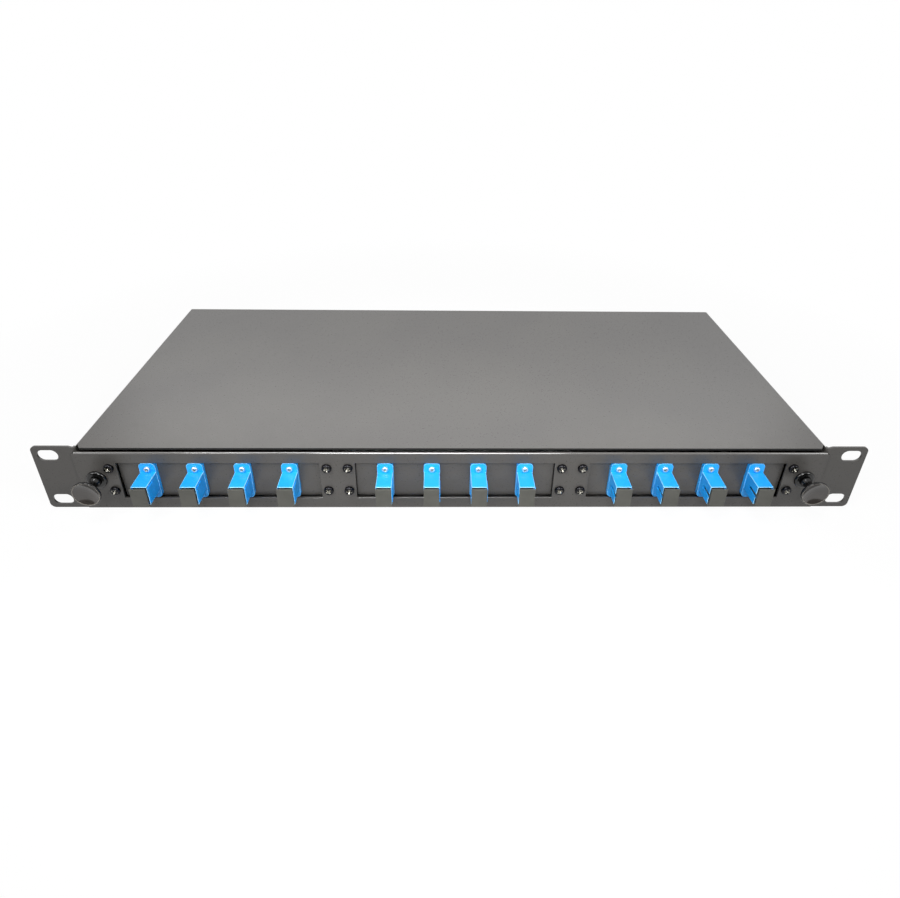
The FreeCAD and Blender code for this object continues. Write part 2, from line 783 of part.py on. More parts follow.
def cable_bushing():
    """Bushing of the right cable entry: a lip outside the wall and a neck through it."""
    lip, neck = ENTRY_RADIUS + BUSHING_LIP, ENTRY_RADIUS - ENTRY_GAP
    bore, inner_end = neck - BUSHING_WALL, -SHEET - BUSHING_INSIDE
    profile = [
        (bore, inner_end),
        (neck, inner_end),
        (neck, 0),
        (lip, 0),
        (lip, BUSHING_OUTSIDE),
        (bore, BUSHING_OUTSIDE),
    ]
    return turned(profile, V(entry_x, rear_out, ENTRY_Z), BACK)


def pair(name, solid):
    """The same piece on the left and on the right, as two nodes."""
    return {name + "_left": mirrored(solid), name + "_right": solid}


def build():
    nodes = {
        "sleeve_shell": sleeve_shell(),
        "rear_plate": rear_plate(),
        "floor_plate": floor_plate(),
        "floor_screws": floor_screws(),
        "front_panel": front_panel(),
        "drawer_tray": drawer_tray(),
        "plate_screws": plate_screws(),
        "plate_standoffs": plate_standoffs(),
        "flange_screws": flange_screws(),
        "splice_tray": splice_tray(),
        "splice_tray_lid": splice_tray_lid(),
        "splice_tray_screws": splice_tray_screws(),
        "latch_grommets": Part.makeCompound(both_sides(latch_grommet())),
        "cable_bushings": Part.makeCompound(both_sides(cable_bushing())),
    }
    nodes.update(pair("latch_keeper", latch_keeper()))
    nodes.update(pair("latch_plunger", latch_plunger()))
    for name, x in zip(("left", "middle", "right"), plate_xs):
        nodes["adapter_plate_" + name] = adapter_plate(x)
    housing, front_cap, rear_cap = adapter(), dust_cap(body_front, 1), dust_cap(body_rear, -1)
    for number, x in enumerate(adapter_xs, 1):
        nodes[f"adapter_{number:02d}"] = at_x(housing, x)
        nodes[f"dust_cap_{number:02d}"] = at_x(front_cap, x)
    nodes["rear_dust_caps"] = Part.makeCompound([at_x(rear_cap, x) for x in adapter_xs])
    clip_x = tray_inner - CLIP_SIDE
    for name, y in (("front", body_rear + CLIP_END), ("rear", tray_back - CLIP_END)):
        nodes[f"fibre_clip_{name}_left"] = fibre_clip(-clip_x, y)
        nodes[f"fibre_clip_{name}_right"] = fibre_clip(clip_x, y)
    return nodes


os.makedirs("parts", exist_ok=True)
for node, shape in build().items():
    shape.exportStep(f"parts/{node}.step")
print(f"rack width {2 * rack_half:.1f}, slots {2 * slot_x:.1f}, sleeve {2 * wall_out:.1f}")
print(f"drawer travel to its stops {lug_y - stop_back:.1f}, latch travel {LATCH_TRAVEL:.1f}")
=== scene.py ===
# %% [markdown]
# # Dressing an optical distribution frame
# The object is a flat steel box for a 19-inch rack. A drawer slides out of it, and the
# drawer's front carries three plates with four blue fibre adapters each, every one closed
# by a grey dust cap. Two black push-pull latches hold the drawer shut.
# The engineering model is loaded first and stays as it is. Around it this lesson models
# the pieces that need rounder edges and finer detail, and gives every surface its finish.

# %% Load the frame
import json
import math

import bmesh
import bpy
from mathutils import Matrix, Vector

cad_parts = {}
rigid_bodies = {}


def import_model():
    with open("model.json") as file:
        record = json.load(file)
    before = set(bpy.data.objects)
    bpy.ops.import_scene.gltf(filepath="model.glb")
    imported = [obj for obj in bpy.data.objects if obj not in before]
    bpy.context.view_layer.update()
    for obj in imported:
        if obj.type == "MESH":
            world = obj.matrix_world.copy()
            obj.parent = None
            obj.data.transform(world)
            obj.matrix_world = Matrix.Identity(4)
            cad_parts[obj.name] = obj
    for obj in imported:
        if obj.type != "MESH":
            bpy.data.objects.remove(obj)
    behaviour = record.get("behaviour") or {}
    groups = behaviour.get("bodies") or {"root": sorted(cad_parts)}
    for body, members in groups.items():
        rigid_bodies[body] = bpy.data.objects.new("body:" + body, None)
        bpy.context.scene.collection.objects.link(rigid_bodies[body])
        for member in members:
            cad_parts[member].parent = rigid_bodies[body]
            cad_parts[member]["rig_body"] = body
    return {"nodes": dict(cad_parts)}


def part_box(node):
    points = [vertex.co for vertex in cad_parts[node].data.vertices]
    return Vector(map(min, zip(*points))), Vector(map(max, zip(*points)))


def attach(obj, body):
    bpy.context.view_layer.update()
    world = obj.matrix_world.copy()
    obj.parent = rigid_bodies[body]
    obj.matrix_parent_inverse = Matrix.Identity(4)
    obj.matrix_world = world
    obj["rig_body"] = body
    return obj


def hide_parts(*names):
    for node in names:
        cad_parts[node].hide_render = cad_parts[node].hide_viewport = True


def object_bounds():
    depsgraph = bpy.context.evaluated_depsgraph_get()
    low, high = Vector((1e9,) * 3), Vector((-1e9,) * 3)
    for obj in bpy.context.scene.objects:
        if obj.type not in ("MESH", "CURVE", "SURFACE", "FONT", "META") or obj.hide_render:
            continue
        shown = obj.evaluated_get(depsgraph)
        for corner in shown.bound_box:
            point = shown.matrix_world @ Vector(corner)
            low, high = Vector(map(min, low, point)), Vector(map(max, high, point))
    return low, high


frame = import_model()
nodes = frame["nodes"]
cad_low, cad_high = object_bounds()
MM = 0.001
bpy.ops.object.select_all(action="DESELECT")
print("CAD box in mm:", [round(v / MM, 1) for v in (*cad_low, *cad_high)])

# %% [markdown]
# ## The camera
# The photograph looks down on the front from close by, so the sleeve narrows strongly
# towards its back. The ear slots have the standard places of a 19-inch rack. From where
# they and the corners of the sleeve lie in the picture, the camera's place, its turns and
# its lens were solved. A lens shift keeps the object where it stands in the frame.

# %% Place the camera
PICTURE_WIDTH = 900
SENSOR_WIDTH = 36
CAMERA_PLACE = Vector((-8.334, -304.996, 236.545)) * MM
YAW, PITCH, ROLL = 0.02675, -0.52485, 0.01653
FOCAL_PIXELS = 647.714
SHIFT_PIXELS = (-6.14, -59.0)

forward = Vector((
    math.sin(YAW) * math.cos(PITCH),
    math.cos(YAW) * math.cos(PITCH),
    math.sin(PITCH),
))
level = Vector((math.cos(YAW), -math.sin(YAW), 0))
upright = level.cross(forward)
right = math.cos(ROLL) * level + math.sin(ROLL) * upright
up = math.cos(ROLL) * upright - math.sin(ROLL) * level
turns = Matrix((right, up, -forward)).transposed().to_4x4()

bpy.ops.object.camera_add()
camera = bpy.context.object
camera.matrix_world = Matrix.Translation(CAMERA_PLACE) @ turns
camera.data.sensor_width = SENSOR_WIDTH
camera.data.lens = FOCAL_PIXELS * SENSOR_WIDTH / PICTURE_WIDTH
camera.data.shift_x = SHIFT_PIXELS[0] / PICTURE_WIDTH
camera.data.shift_y = SHIFT_PIXELS[1] / PICTURE_WIDTH
bpy.context.scene.camera = camera
bpy.context.scene.view_settings.view_transform = "Standard"
print("lens in mm:", round(camera.data.lens, 2))

# %% [markdown]
# ## Two small helpers for materials
# Colours are written as the hex values that a paint chart or a picture gives. Blender's
# shaders work in linear light, so one function turns them over. A second function adds a
# node with its settings, and links a socket wherever it is handed another node's output.

# %% Colour and node helpers
def linear(hex_colour):
    """The linear colour of an sRGB hex value."""
    parts = [int(hex_colour[i:i + 2], 16) / 255 for i in (1, 3, 5)]
    return (*[v / 12.92 if v <= 0.04045 else ((v + 0.055) / 1.055) ** 2.4 for v in parts], 1.0)


def add_node(tree, kind, sockets=None, **settings):
    """Adds a node, sets its sockets by name or number and links those given an output."""
    node = tree.nodes.new(kind)
    for name, value in settings.items():
        setattr(node, name, value)
    for name, value in (sockets or {}).items():
        if isinstance(value, bpy.types.NodeSocket):
            tree.links.new(value, node.inputs[name])
        else:
            node.inputs[name].default_value = value
    return node


WHITE = linear("#ffffff")
print("mid grey is", round(linear("#808080")[0], 3), "in linear light")

# %% [markdown]
# ## A white studio
# Catalogue pictures stand on plain white. Brighter lamps would wash the object out, so the
# world is shown as white only to camera, mirror and glass rays, which the Light Path node
# tells apart. To all other rays it is a dim, even light that fills the shadows.

# %% World
AMBIENT = 0.36


def seen_directly(tree):
    """1 for rays that show the background: from the camera, in a mirror or through glass."""
    rays = add_node(tree, "ShaderNodeLightPath").outputs
    seen = rays["Is Camera Ray"]
    for kind in ("Is Glossy Ray", "Is Transmission Ray"):
        either = add_node(tree, "ShaderNodeMath", {0: seen, 1: rays[kind]}, operation="MAXIMUM")
        seen = either.outputs[0]
    return seen


world = bpy.data.worlds.new("white_studio")
bpy.context.scene.world = world
world.use_nodes = True
tree = world.node_tree
tree.nodes.clear()
dim = add_node(tree, "ShaderNodeBackground", {"Color": WHITE, "Strength": AMBIENT}).outputs[0]
white = add_node(tree, "ShaderNodeBackground", {"Color": WHITE, "Strength": 1.0}).outputs[0]
chosen = add_node(tree, "ShaderNodeMixShader", {"Fac": seen_directly(tree), 1: dim, 2: white})
add_node(tree, "ShaderNodeOutputWorld", {"Surface": chosen.outputs[0]})
print("world:", world.name, "with", len(tree.nodes), "nodes")

# %% [markdown]
# ## A floor that keeps a shadow
# The floor is white in the same way. Close to the object a part of it stays an ordinary
# pale surface, and there the object's soft shadow shows. Further out it fades to pure white,
# so that no horizon can be seen.

# %% Floor
FLOOR_SIZE = 8
FLOOR_GAP = 0.02 * MM
OBJECT_MIDDLE_Y = 0.1
SHADOW_SHARE = 0.09
SHADOW_FADES, SHADOW_ENDS = 0.24, 0.45  # in metres from the object's middle

bpy.ops.mesh.primitive_plane_add(size=FLOOR_SIZE, location=(0, 0, cad_low.z - FLOOR_GAP))
floor = bpy.context.object
floor.name = "studio_floor"
bpy.ops.object.transform_apply(location=True)

paper = bpy.data.materials.new("white_paper_floor")
paper.use_nodes = True
tree = paper.node_tree
tree.nodes.clear()
where = add_node(tree, "ShaderNodeTexCoord").outputs["Object"]
centred = add_node(
    tree, "ShaderNodeMapping", {"Vector": where, "Location": (0, -OBJECT_MIDDLE_Y, 0)}
)
reach = add_node(tree, "ShaderNodeVectorMath", {0: centred.outputs[0]}, operation="LENGTH")
share = add_node(
    tree, "ShaderNodeMapRange",
    {
        "Value": reach.outputs["Value"], "From Min": SHADOW_FADES, "From Max": SHADOW_ENDS,
        "To Min": SHADOW_SHARE, "To Max": 0.0,
    },
).outputs[0]
pale = add_node(tree, "ShaderNodeBsdfDiffuse", {"Color": WHITE}).outputs[0]
bounce = add_node(tree, "ShaderNodeBsdfDiffuse", {"Color": linear("#808080")}).outputs[0]
glow = add_node(tree, "ShaderNodeEmission", {"Strength": 1.0}).outputs[0]
shown = add_node(tree, "ShaderNodeMixShader", {"Fac": share, 1: glow, 2: pale}).outputs[0]
both = add_node(tree, "ShaderNodeMixShader", {"Fac": seen_directly(tree), 1: bounce, 2: shown})
add_node(tree, "ShaderNodeOutputMaterial", {"Surface": both.outputs[0]})
floor.data.materials.append(paper)
print("floor at", round(cad_low.z / MM, 2), "mm")

# %% [markdown]
# ## Soft studio light
# In the photograph the front is brightest in the middle and hardly any shadow shows, so a
# softbox stands behind and above the camera, and two more cross their narrow beams from the
# left and the right, which also lights the sides of the adapters. The top has a broad sheen
# that fades to its sides: that is a softbox behind the object, mirrored in the satin coat.
# One from above draws the bright line along the rounded top edge of the drawer, and a very
# small, weak lamp sets white glints on everything glossy.

# %% Softboxes
def softbox(name, place, target, size, watts, spread=180):
    """A rectangular lamp that looks at a target, in metres. A small spread narrows its beam."""
    bpy.ops.object.light_add(type="AREA", location=place)
    lamp = bpy.context.object
    lamp.name = name
    lamp.data.shape = "RECTANGLE"
    lamp.data.size, lamp.data.size_y = size
    lamp.data.energy = watts
    lamp.data.spread = math.radians(spread)
    lamp.rotation_euler = (Vector(target) - Vector(place)).to_track_quat("-Z", "Y").to_euler()
    print(name, watts, "W")


softbox("softbox_front", (-0.01, -0.45, 0.37), (0.0, 0.03, 0.01), (0.36, 0.24), 0.33, 50)
for name, side in (("left", -1), ("right", 1)):
    place, target = (side * 0.45, -0.40, 0.42), (-side * 0.10, 0.0, 0.0)
    softbox(f"softbox_{name}", place, target, (0.44, 0.36), 0.25, 40)
softbox("small_lamp", (-0.34, -0.32, 0.52), (-0.13, 0.0, 0.02), (0.10, 0.10), 0.04, 50)
softbox("softbox_back", (0.03, 1.07, 0.76), (0.0, 0.08, 0.02), (1.70, 0.18), 3.6)
softbox("softbox_above", (-0.14, -0.20, 0.80), (0.02, 0.03, 0.0), (0.54, 0.12), 0.30, 60)

# %% [markdown]
# ## A black card
# Glossy black parts look black only if they have something dark to mirror. In a white studio
# a photographer hangs a black card behind the camera for that: the dished knobs and the
# screws pick it up. It is hidden from direct view, so it never stands behind the object.

# %% Hang the card
CARD_PLACE = (0, -0.85, 0.47)
CARD_WIDTH, CARD_HEIGHT = 2.6, 0.9

bpy.ops.mesh.primitive_plane_add(size=1, location=CARD_PLACE, rotation=(math.pi / 2, 0, 0))
card = bpy.context.object
card.name = "black_card"
card.scale = (CARD_WIDTH, CARD_HEIGHT, 1)
bpy.ops.object.transform_apply(location=True, rotation=True, scale=True)
card.visible_camera = False

velvet = bpy.data.materials.new("black_velvet_card")
velvet.use_nodes = True
tree = velvet.node_tree
tree.nodes.clear()
matt = add_node(tree, "ShaderNodeBsdfDiffuse", {"Color": linear("#0c0c0c")})
add_node(tree, "ShaderNodeOutputMaterial", {"Surface": matt.outputs[0]})
card.data.materials.append(velvet)
print("card in mm:", [round(v / MM) for v in card.dimensions])

# %% [markdown]
# ## Powder-coated steel
# Ears, sleeve, drawer and plates are 1.2 mm sheet with a black powder coat. Powder melts to
# a skin with a fine orange peel: no clear mirror image, but a broad sheen that turns the
# black to grey under a lamp. A noise drives roughness and bump, and a far larger, very
# faint one keeps the big top from looking printed.

# %% Helpers for every finish
NOISE_LOW, NOISE_HIGH = 0.3, 0.7  # most of a noise's values lie between these


def new_finish(name):
    """A material with its node tree and its principled shader."""
    finish = bpy.data.materials.new(name)
    finish.use_nodes = True
    print("finish:", name)
    return finish, finish.node_tree, finish.node_tree.nodes["Principled BSDF"]


def mottled(tree, where, size, dark, light):
    """Two close tones of one colour that drift into each other over a size."""
    drift = add_node(
        tree, "ShaderNodeTexNoise", {"Vector": where, "Scale": 1 / size, "Detail": 2.0}
    )
    tones = add_node(tree, "ShaderNodeValToRGB", {"Fac": drift.outputs["Fac"]})
    for element, place, tone in zip(tones.color_ramp.elements, (0.35, 0.65), (dark, light)):
        element.position, element.color = place, linear(tone)
    return tones.outputs["Color"]


print("a noise runs mostly from", NOISE_LOW, "to", NOISE_HIGH)

# %% Powder coat
PEEL = 0.9 * MM  # the real peel is about 0.4 mm, drawn coarser so that it shows at all
PEEL_HEIGHT = 0.04 * MM
MOTTLE = 70 * MM
COAT_SMOOTH, COAT_ROUGH = 0.26, 0.36

# dark, softly shining, finely grained
powder_coat, tree, shader = new_finish("powder_coated_steel")
where = add_node(tree, "ShaderNodeTexCoord").outputs["Object"]
peel = add_node(
    tree, "ShaderNodeTexNoise",
    {"Vector": where, "Scale": 1 / PEEL, "Detail": 3.0, "Roughness": 0.6},
).outputs["Fac"]
tree.links.new(mottled(tree, where, MOTTLE, "#484644", "#4d4b48"), shader.inputs["Base Color"])
sheen = add_node(
    tree, "ShaderNodeMapRange",
    {
        "Value": peel, "From Min": NOISE_LOW, "From Max": NOISE_HIGH,
        "To Min": COAT_SMOOTH, "To Max": COAT_ROUGH,
    },
)
tree.links.new(sheen.outputs[0], shader.inputs["Roughness"])
skin = add_node(
    tree, "ShaderNodeBump", {"Height": peel, "Strength": 0.25, "Distance": PEEL_HEIGHT}
)
tree.links.new(skin.outputs[0], shader.inputs["Normal"])
print("peel drawn at", PEEL / MM, "mm")

# %% [markdown]
# ## Moulded plastics
# The adapter housings are blue ABS, moulded in polished steel, so they are smooth and keep
# a satin shine with hardly any texture. Their dust caps are soft grey polyethylene, which is
# duller and a little waxy. The splice tray inside is light grey ABS with a fine spark-eroded
# grain, and the latches are black nylon. All follow one recipe with other numbers: two close
# tones that flow through the plastic, a roughness, and a fine grain.

# %% Plastics
FLOW = 9 * MM
KNOB_IOR = 1.7  # polished by many hands


def moulded(name, dark, light, roughness, grain, depth):
    """A moulded plastic: faint flow tones, one roughness and a grain, its sizes in mm."""
    finish, tree, shader = new_finish(name)
    where = add_node(tree, "ShaderNodeTexCoord").outputs["Object"]
    tree.links.new(mottled(tree, where, FLOW, dark, light), shader.inputs["Base Color"])
    shader.inputs["Roughness"].default_value = roughness
    pits = add_node(
        tree, "ShaderNodeTexNoise", {"Vector": where, "Scale": 1 / (grain * MM), "Detail": 2.0}
    )
    skin = add_node(
        tree, "ShaderNodeBump",
        {"Height": pits.outputs["Fac"], "Strength": 0.2, "Distance": depth * MM},
    )
    tree.links.new(skin.outputs[0], shader.inputs["Normal"])
    return finish


blue_abs = moulded("blue_moulded_abs", "#1ca3fa", "#24abff", 0.34, 0.5, 0.01)  # satin, clear blue
blue_painted_highlight = moulded("blue_abs_painted_highlight", "#8ed4ff", "#9adaff", 0.30, 0.5, 0.01)  # painted highlight: pale blue on the rounded edges
blue_painted_shade = moulded("blue_abs_painted_shade", "#05182a", "#081d30", 0.6, 0.5, 0.02)  # painted shade: dark blue on the rim in the groove
grey_cap = moulded("grey_polyethylene", "#4a4a45", "#51514c", 0.55, 0.6, 0.02)  # dull and waxy
tray_abs = moulded("light_grey_abs", "#a5a7a5", "#a9aba8", 0.5, 0.7, 0.03)  # fine even grain
clip_nylon = moulded("dull_black_nylon", "#151515", "#1b1b1b", 0.5, 0.7, 0.03)  # dry black
rubber = moulded("black_rubber", "#121212", "#181818", 0.65, 0.8, 0.04)  # soft, no shine
gloss_nylon = moulded("glossy_black_nylon", "#060606", "#0a0a0a", 0.13, 3.0, 0.01)  # wet-looking
knob_painted_reflection = moulded("black_nylon_painted_reflection", "#33302d", "#3a3633", 0.14, 0.8, 0.01)  # painted reflection: the dish painted grey
knob_painted_rim_highlight = moulded("black_nylon_painted_highlight", "#75706a", "#7f7a73", 0.4, 0.8, 0.01)  # painted highlight: a paler rim
knob_painted_reflection.node_tree.nodes["Principled BSDF"].inputs["IOR"].default_value = KNOB_IOR
print("plastic flows over", FLOW / MM, "mm")

# %% [markdown]
# ## Plated screws
# The small flange screws are nickel plated: bright, slightly warm, with fine handling marks,
# and their recess is painted a greyer nickel as painted shade. The plate screws are black
# zinc, a thin dark skin over metal, and in their recess the driver has rubbed it off, so
# bright steel sparkles there. All are metals, so the colour sits in the reflection, and only
# the roughness needs a pattern.

# %% Plated metals
MARKS = 0.8 * MM


def plated(name, colour, smoothest, roughest):
    """A plated metal whose shine varies over handling marks."""
    finish, tree, shader = new_finish(name)
    shader.inputs["Base Color"].default_value = linear(colour)
    shader.inputs["Metallic"].default_value = 1.0
    where = add_node(tree, "ShaderNodeTexCoord").outputs["Object"]
    marks = add_node(
        tree, "ShaderNodeTexNoise", {"Vector": where, "Scale": 1 / MARKS, "Detail": 3.0}
    )
    shine = add_node(
        tree, "ShaderNodeMapRange",
        {
            "Value": marks.outputs["Fac"], "From Min": NOISE_LOW, "From Max": NOISE_HIGH,
            "To Min": smoothest, "To Max": roughest,
        },
    )
    tree.links.new(shine.outputs[0], shader.inputs["Roughness"])
    return finish


nickel = plated("nickel_plate", "#eceae4", 0.34, 0.46)  # bright, with soft marks
nickel_painted_recess_shade = plated("nickel_painted_recess_shade", "#a9a7a1", 0.40, 0.50)  # painted shade: a greyer nickel in the recess
black_zinc = plated("black_zinc_plate", "#2a2a2d", 0.06, 0.12)  # near black, with sharp glints
bare_steel = plated("bare_steel", "#99978f", 0.16, 0.30)  # bright where the driver has rubbed
standoff_painted_shade = plated("nickel_standoff_painted_shade", "#6a6862", 0.35, 0.50)  # painted shade: darkened nickel on the standoffs behind the panel
print("handling marks drawn at", MARKS / MM, "mm")

# %% [markdown]
# ## Sheet metal with broken edges
# A punched sheet is deburred and then coated, so none of its edges is knife sharp, and each
# catches a thin line of light. The solids have sharp edges. Modelling every sheet again
# would only repeat them, so a copy of each has its triangles merged back to flat faces, and
# a bevel modifier breaks its edges by 0.15 mm. The copy keeps the solid's form and stands
# for it.

# %% Helpers that finish a piece
def finish_piece(piece, material, node):
    """Gives a piece its material and its body, and hides the solid that it stands for."""
    if not piece.data.materials:
        piece.data.materials.append(material)
    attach(piece, nodes[node]["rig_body"])
    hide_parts(node)


def make_active(piece):
    """Selects one piece alone, so that operators act on it."""
    bpy.ops.object.select_all(action="DESELECT")
    piece.select_set(True)
    bpy.context.view_layer.objects.active = piece


def apply_modifier(piece, kind, **settings):
    """Adds a modifier, sets it and applies it."""
    make_active(piece)
    modifier = piece.modifiers.new(kind.lower(), kind)
    for name, value in settings.items():
        setattr(modifier, name, value)
    bpy.ops.object.modifier_apply(modifier=modifier.name)


print("solids to dress:", len(nodes))

# %% Helpers that break edges
SMOOTH_ANGLE = math.radians(35)
FLAT_ANGLE = math.radians(0.5)
SAME_POINT = 0.001 * MM


def smooth(piece):
    """Shades a piece smooth across shallow angles and keeps its flats flat."""
    make_active(piece)
    bpy.ops.object.shade_smooth_by_angle(angle=SMOOTH_ANGLE)
    apply_modifier(piece, "WEIGHTED_NORMAL", keep_sharp=True)


def break_edges(piece, width, segments=2):
    """Bevels the sharp edges of a piece and shades it smooth across them."""
    apply_modifier(
        piece, "BEVEL", width=width, segments=segments, limit_method="ANGLE",
        angle_limit=SMOOTH_ANGLE, use_clamp_overlap=True,
    )
    smooth(piece)


def edged_copy(node, ending, width, finish):
    """A copy of a solid with whole flat faces and broken edges, which stands for it."""
    piece = bpy.data.objects.new(f"{node}_{ending}", nodes[node].data.copy())
    bpy.context.scene.collection.objects.link(piece)
    piece.data.materials.clear()
    make_active(piece)
    bpy.ops.object.mode_set(mode="EDIT")
    bpy.ops.mesh.select_all(action="SELECT")
    bpy.ops.mesh.customdata_custom_splitnormals_clear()
    bpy.ops.mesh.remove_doubles(threshold=SAME_POINT)
    bpy.ops.mesh.dissolve_limited(angle_limit=FLAT_ANGLE)
    bpy.ops.object.mode_set(mode="OBJECT")
    break_edges(piece, width)
    finish_piece(piece, finish, node)
    print(piece.name, len(piece.data.polygons), "faces")
    return piece


print("edges are sharp from", round(math.degrees(SMOOTH_ANGLE)), "degrees on")

# %% Break the edges of the sheets
EDGE_BREAK = 0.15 * MM
SHEETS = [
    "sleeve_shell", "rear_plate", "floor_plate", "front_panel", "drawer_tray",
    "adapter_plate_left", "adapter_plate_middle", "adapter_plate_right",
    "latch_keeper_left", "latch_keeper_right",
]
sheets = {
    node: edged_copy(node, "sheet", EDGE_BREAK, powder_coat) for node in SHEETS
}
print("sheets:", len(sheets))

# %% [markdown]
# ## The black line above the drawer
# Between the sleeve and the drawer the photograph shows a black line that is wider than the
# gap. The cut front edge of the sleeve is painted into it: a second, dull black material on
# those few faces is painted shade that widens the shadowed line, and no shape has to change.

# %% Darken the cut edge
TOP_DROP = 0.8 * MM  # from the tips of the ears down to the sleeve's top
EDGE_BAND = 1.4 * MM  # the sheet and a little more
EDGE_REACH = 200 * MM  # to each side, short of the notched corners
EDGE_DEPTH = 0.2 * MM


def paint(piece, index, test):
    """Gives the faces that pass a test one of the piece's finishes, and counts them."""
    faces = [face for face in piece.data.polygons if test(face)]
    for face in faces:
        face.material_index = index
    return len(faces)


def on_cut_edge(face):
    """True for the faces of the top sheet that look to the front."""
    lowest = cad_high.z - TOP_DROP - EDGE_BAND
    to_front = face.normal.y < -0.6 and face.center.y < EDGE_DEPTH
    return to_front and face.center.z > lowest and abs(face.center.x) < EDGE_REACH


# painted shade: dull black, like the shadowed gap below it
painted_gap_shade = moulded("black_painted_gap_shade", "#040404", "#070707", 0.75, 0.6, 0.02)
sleeve = sheets["sleeve_shell"]
sleeve.data.materials.append(painted_gap_shade)
print("dark faces on the sleeve's front edge:", paint(sleeve, 1, on_cut_edge))

# %% [markdown]
# ## The bright line on the drawer's top edge
# Molten powder flows away from a corner and pools on a rounding, where it sets thick and
# glossy. So the rounded top edge of the drawer mirrors the softbox as a bright line, while
# the flat below it stays dull. A copy of the coat with a clear, smoother layer shows that.
# The lower edges of the three windows carry the same line, only finer.

# %% Gloss on the rounded edges
TOP_ROUND = 1.0 * MM
SILL_Z = -13.9 * MM  # the lower edges of the windows
SILL_BAND = 0.3 * MM

edge_coat = powder_coat.copy()  # the same coat, pooled to a gloss
edge_coat.name = "powder_coat_pooled"
shader = edge_coat.node_tree.nodes["Principled BSDF"]
shader.inputs["Coat Weight"].default_value = 1.0
shader.inputs["Coat Roughness"].default_value = 0.10
shader.inputs["Coat IOR"].default_value = 2.2

drawer_front = sheets["front_panel"]
drawer_front.data.materials.append(edge_coat)
round_z = max(v.co.z for v in drawer_front.data.vertices) - TOP_ROUND


def on_rounding(face):
    """True for roundings that look up and to the front, at the top and on the sills."""
    on_sill = abs(face.center.z - SILL_Z) < SILL_BAND
    looks_up = face.normal.z > 0.1 and face.normal.y < -0.1
    return looks_up and (face.center.z > round_z or on_sill)


print("glossy faces on the drawer's edges:", paint(drawer_front, 1, on_rounding))

# %% [markdown]
# ## Picking by place
# The moulded and turned pieces are modelled from new. By hand, faces and edges are picked
# with the mouse before an operator acts on them. A script picks them by where they lie and
# where they look, which still holds when a size changes. Sizes in these cells are in mm.

# %% Helpers that pick faces and edges
FACING = 0.9  # a face looks along an axis if its normal goes this far along it
CLOSE = 0.01  # in mm, for places that are meant to be the same


def block(name, low, high):
    """A block between two corners in mm, with its place in its mesh."""
    low, high = Vector(low) * MM, Vector(high) * MM
    bpy.ops.object.select_all(action="DESELECT")
    bpy.ops.mesh.primitive_cube_add(size=1, location=(low + high) / 2, scale=high - low)
    piece = bpy.context.object
    piece.name = name
    bpy.ops.object.transform_apply(location=True, rotation=True, scale=True)
    return piece


def pick_faces(piece, test):
    """In edit mode, selects the faces whose centre (in mm) and normal pass a test."""
    bpy.ops.mesh.select_mode(type="FACE")
    bpy.ops.mesh.select_all(action="DESELECT")
    mesh = bmesh.from_edit_mesh(piece.data)
    for face in mesh.faces:
        if test(face.calc_center_median() / MM, face.normal):
            face.select_set(True)
    bmesh.update_edit_mesh(piece.data)


def pick_edges(piece, test):
    """In edit mode, selects the edges whose two ends (in mm) pass a test."""
    bpy.ops.mesh.select_mode(type="EDGE")
    bpy.ops.mesh.select_all(action="DESELECT")
    mesh = bmesh.from_edit_mesh(piece.data)
    for edge in mesh.edges:
        if test(edge.verts[0].co / MM, edge.verts[1].co / MM):
            edge.select_set(True)
    bmesh.update_edit_mesh(piece.data)


def pull(x=0, y=0, z=0):
    """Extrudes what is selected by a distance in mm."""
    bpy.ops.mesh.extrude_region_move(TRANSFORM_OT_translate={"value": Vector((x, y, z)) * MM})


def box_of(node):
    """The two corners of a solid's box in mm."""
    return [Vector(corner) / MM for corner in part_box(node)]


housing_low, housing_high = box_of("adapter_01")
print("adapter 1 in mm:", [round(v, 2) for v in (*housing_low, *housing_high)])

# %% [markdown]
# ## One adapter housing: the tube
# An adapter is a square tube that two plugs meet in, with a flange that is screwed to the
# plate. One is modelled in the middle of the frame and copied to its twelve places. It
# starts as a block as long as the tube, with rounded edges. The bevel gives its new faces a
# paler blue of their own, a painted highlight along the edges.

# %% Shape the tube
BODY_HALF = (4.5, 6.25)  # half the width and half the height
AXIS_Z = (housing_low.z + housing_high.z) / 2
FRONT_Y, REAR_Y = housing_low.y, housing_high.y
EDGE_ROUND, ROUND_STEPS = 0.3, 3
BLUES = (blue_abs, blue_painted_highlight, blue_painted_shade)
PAINTED_HIGHLIGHT, PAINTED_SHADE = 1, 2  # numbers of the last two


def block_on_axis(name, half, ends, finishes=()):
    """A block round the adapter's axis, with half its width and height, between two ends."""
    low, high = (-half[0], ends[0], AXIS_Z - half[1]), (half[0], ends[1], AXIS_Z + half[1])
    piece = block(name, low, high)
    for finish in finishes:
        piece.data.materials.append(finish)
    return piece


housing = block_on_axis("adapter_housing", BODY_HALF, (FRONT_Y, REAR_Y), BLUES)
bpy.ops.object.mode_set(mode="EDIT")
bpy.ops.mesh.select_all(action="SELECT")
bpy.ops.mesh.bevel(
    offset=EDGE_ROUND * MM, segments=ROUND_STEPS, affect="EDGES", material=PAINTED_HIGHLIGHT
)
bpy.ops.object.mode_set(mode="OBJECT")
print("tube with round edges:", len(housing.data.polygons), "faces")

# %% [markdown]
# ## The two mouths
# A plug enters the tube through a thin-walled mouth and then sits in a narrower socket. Each
# mouth is an inset of the end face that is pushed in twice. Between the two pushes the face
# is squeezed to the socket's size, which leaves the step. A boolean could cut the same
# pocket, but an inset keeps the wall even all round.

